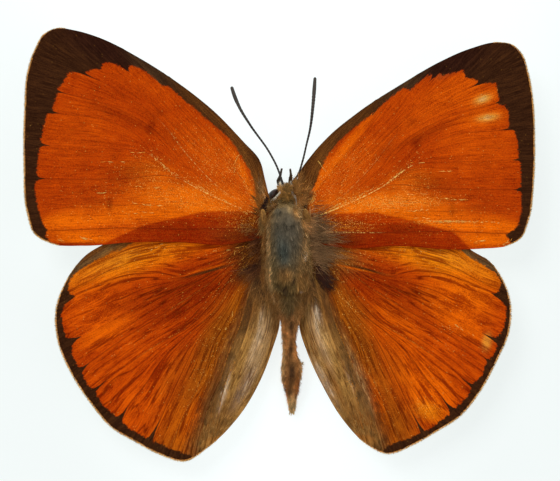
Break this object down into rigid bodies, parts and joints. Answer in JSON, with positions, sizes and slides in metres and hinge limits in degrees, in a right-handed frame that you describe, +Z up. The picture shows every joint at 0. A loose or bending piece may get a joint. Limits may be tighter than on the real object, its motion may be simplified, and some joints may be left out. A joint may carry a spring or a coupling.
{
  "type": "spread butterfly specimen",
  "caption": "Dried, spread butterfly with orange, dark-bordered wings, furred body, clubbed feelers and folded legs, resting flat on its breast and feet.",
  "frame": {"origin": "the middle of the specimen's outline as seen from above, at the height of the surface it rests on", "axes": "+X towards the insect's right wing tips, +Y ahead of its head, +Z up, away from the surface"},
  "size_m": [0.0423, 0.036, 0.0046],
  "materials": {
    "wing_scales": "matt scales",
    "grey_fur": "long soft hair",
    "brown_fur": "short hair",
    "abdomen_skin": "scaled, with short hair",
    "eye": "finely faceted, glossy",
    "feeler": "ringed, satin",
    "leg": "scaled, matt"
  },
  "bodies": {
    "root": {"head": "brown_fur", "left_eye": "eye", "right_eye": "eye", "left_antenna": "feeler", "right_antenna": "feeler", "left_palp": "brown_fur", "right_palp": "brown_fur", "proboscis": "feeler", "thorax": "grey_fur", "left_tegula": "brown_fur", "right_tegula": "brown_fur", "abdomen": "abdomen_skin", "left_forewing": "wing_scales", "right_forewing": "wing_scales", "left_hindwing": "wing_scales", "right_hindwing": "wing_scales", "left_foreleg": "leg", "right_foreleg": "leg", "left_midleg": "leg", "right_midleg": "leg", "left_hindleg": "leg", "right_hindleg": "leg"}
  },
  "joints": []
}
